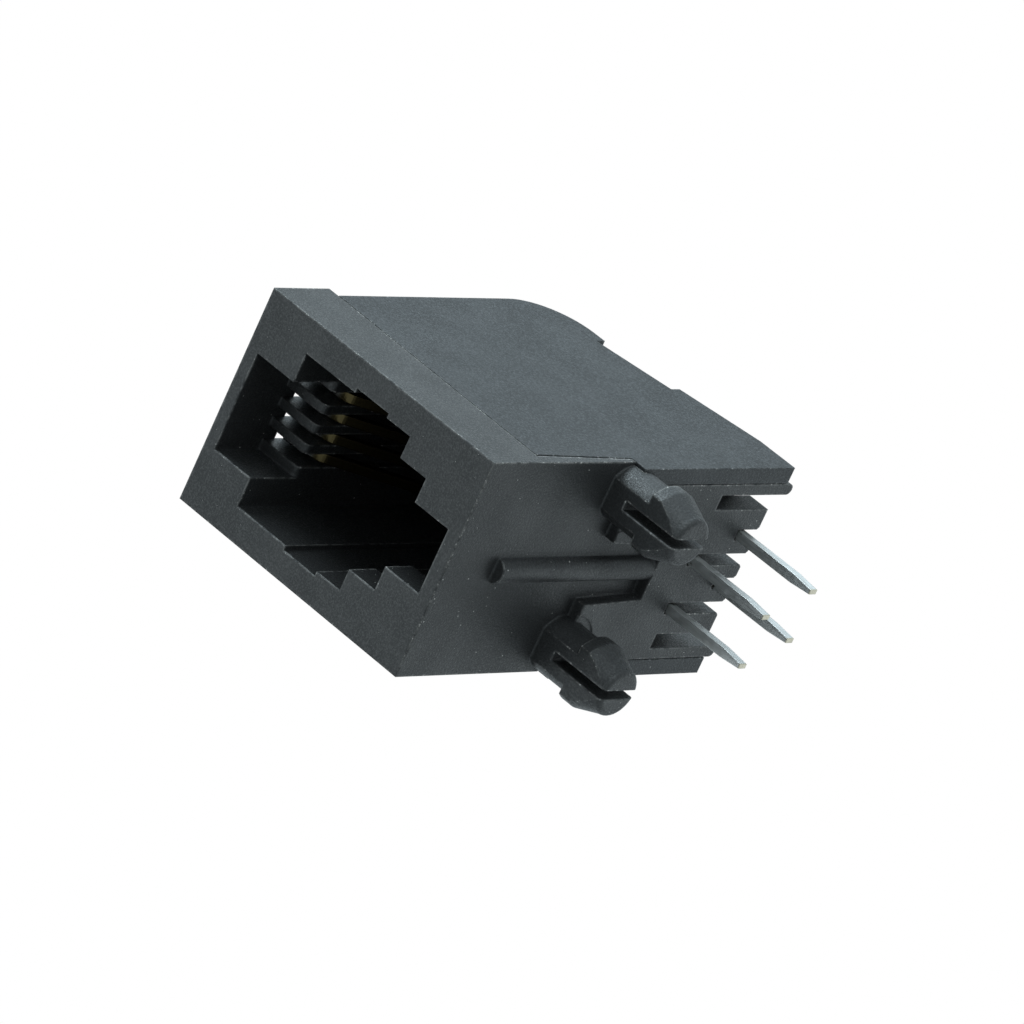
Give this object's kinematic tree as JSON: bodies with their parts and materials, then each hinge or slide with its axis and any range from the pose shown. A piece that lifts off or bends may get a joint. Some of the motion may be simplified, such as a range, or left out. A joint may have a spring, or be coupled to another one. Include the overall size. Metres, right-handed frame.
{
  "type": "modular jack",
  "caption": "Board-mount modular jack in black plastic with a stepped plug port, sprung gold contacts in a comb, a rear cover, split snap pegs and staggered solder tails.",
  "frame": {"origin": "on the board plane, midway between the two snap pegs", "axes": "X across the jack, +Y from the mating face towards the rear, +Z away from the board"},
  "size_m": [0.011, 0.0207, 0.0201],
  "materials": {
    "housing_plastic": "fine moulded grain, charcoal black",
    "cover_plastic": "fine moulded grain, charcoal black",
    "contact_metal": "thin gold on the spring, dull tin on the solder tail"
  },
  "bodies": {
    "root": {"housing": "housing_plastic", "cover": "cover_plastic", "contact_1": "contact_metal", "contact_2": "contact_metal", "contact_3": "contact_metal", "contact_4": "contact_metal"}
  },
  "joints": []
}
